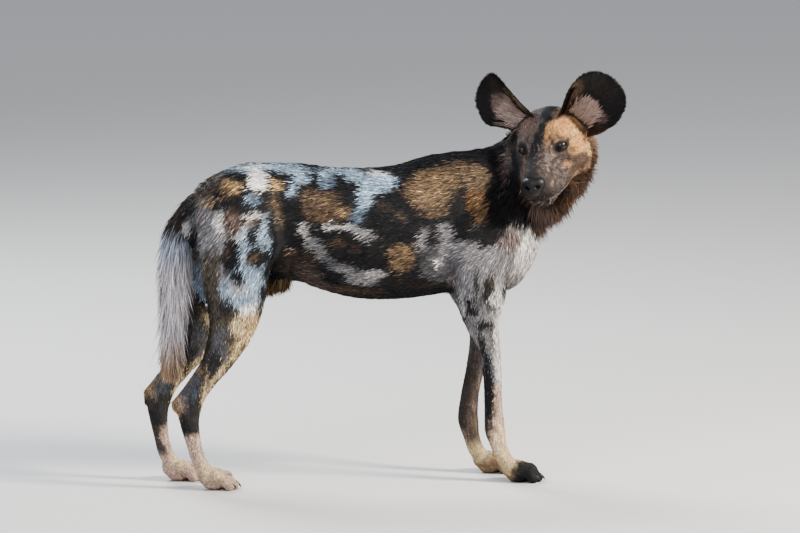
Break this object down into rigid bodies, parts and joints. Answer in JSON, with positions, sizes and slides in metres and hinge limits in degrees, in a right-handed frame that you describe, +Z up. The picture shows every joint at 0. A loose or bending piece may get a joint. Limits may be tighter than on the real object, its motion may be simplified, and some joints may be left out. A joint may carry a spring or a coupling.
{
  "type": "african wild dog, still model",
  "caption": "Life-size standing African wild dog, still, heading along X with its head turned right, large round ears, throat ruff and a hanging brush tail.",
  "frame": {"origin": "bottom centre of the bounding box, on the floor the feet stand on", "axes": "+X the way the body heads, +Y the animal's left, +Z up"},
  "size_m": [1.0778, 0.3208, 0.9396],
  "materials": {
    "coat_fur": "short blotched fur in black, brown, tan, grey and white",
    "pale_fur": "long pale brush hair",
    "ear_fur": "short near-black fur",
    "nose_leather": "moist fine-grained black skin",
    "eye_dark": "wet dark brown eye"
  },
  "bodies": {
    "root": {"torso": "coat_fur", "neck": "coat_fur", "head": "coat_fur", "nose": "nose_leather", "eye_left": "eye_dark", "eye_right": "eye_dark", "ear_left": "ear_fur", "ear_right": "ear_fur", "tail": "pale_fur", "thigh_left": "coat_fur", "hind_leg_left": "coat_fur", "hind_foot_left": "coat_fur", "upper_arm_left": "coat_fur", "forearm_left": "coat_fur", "fore_foot_left": "coat_fur", "thigh_right": "coat_fur", "hind_leg_right": "coat_fur", "hind_foot_right": "coat_fur", "upper_arm_right": "coat_fur", "forearm_right": "coat_fur", "fore_foot_right": "coat_fur"}
  },
  "joints": []
}
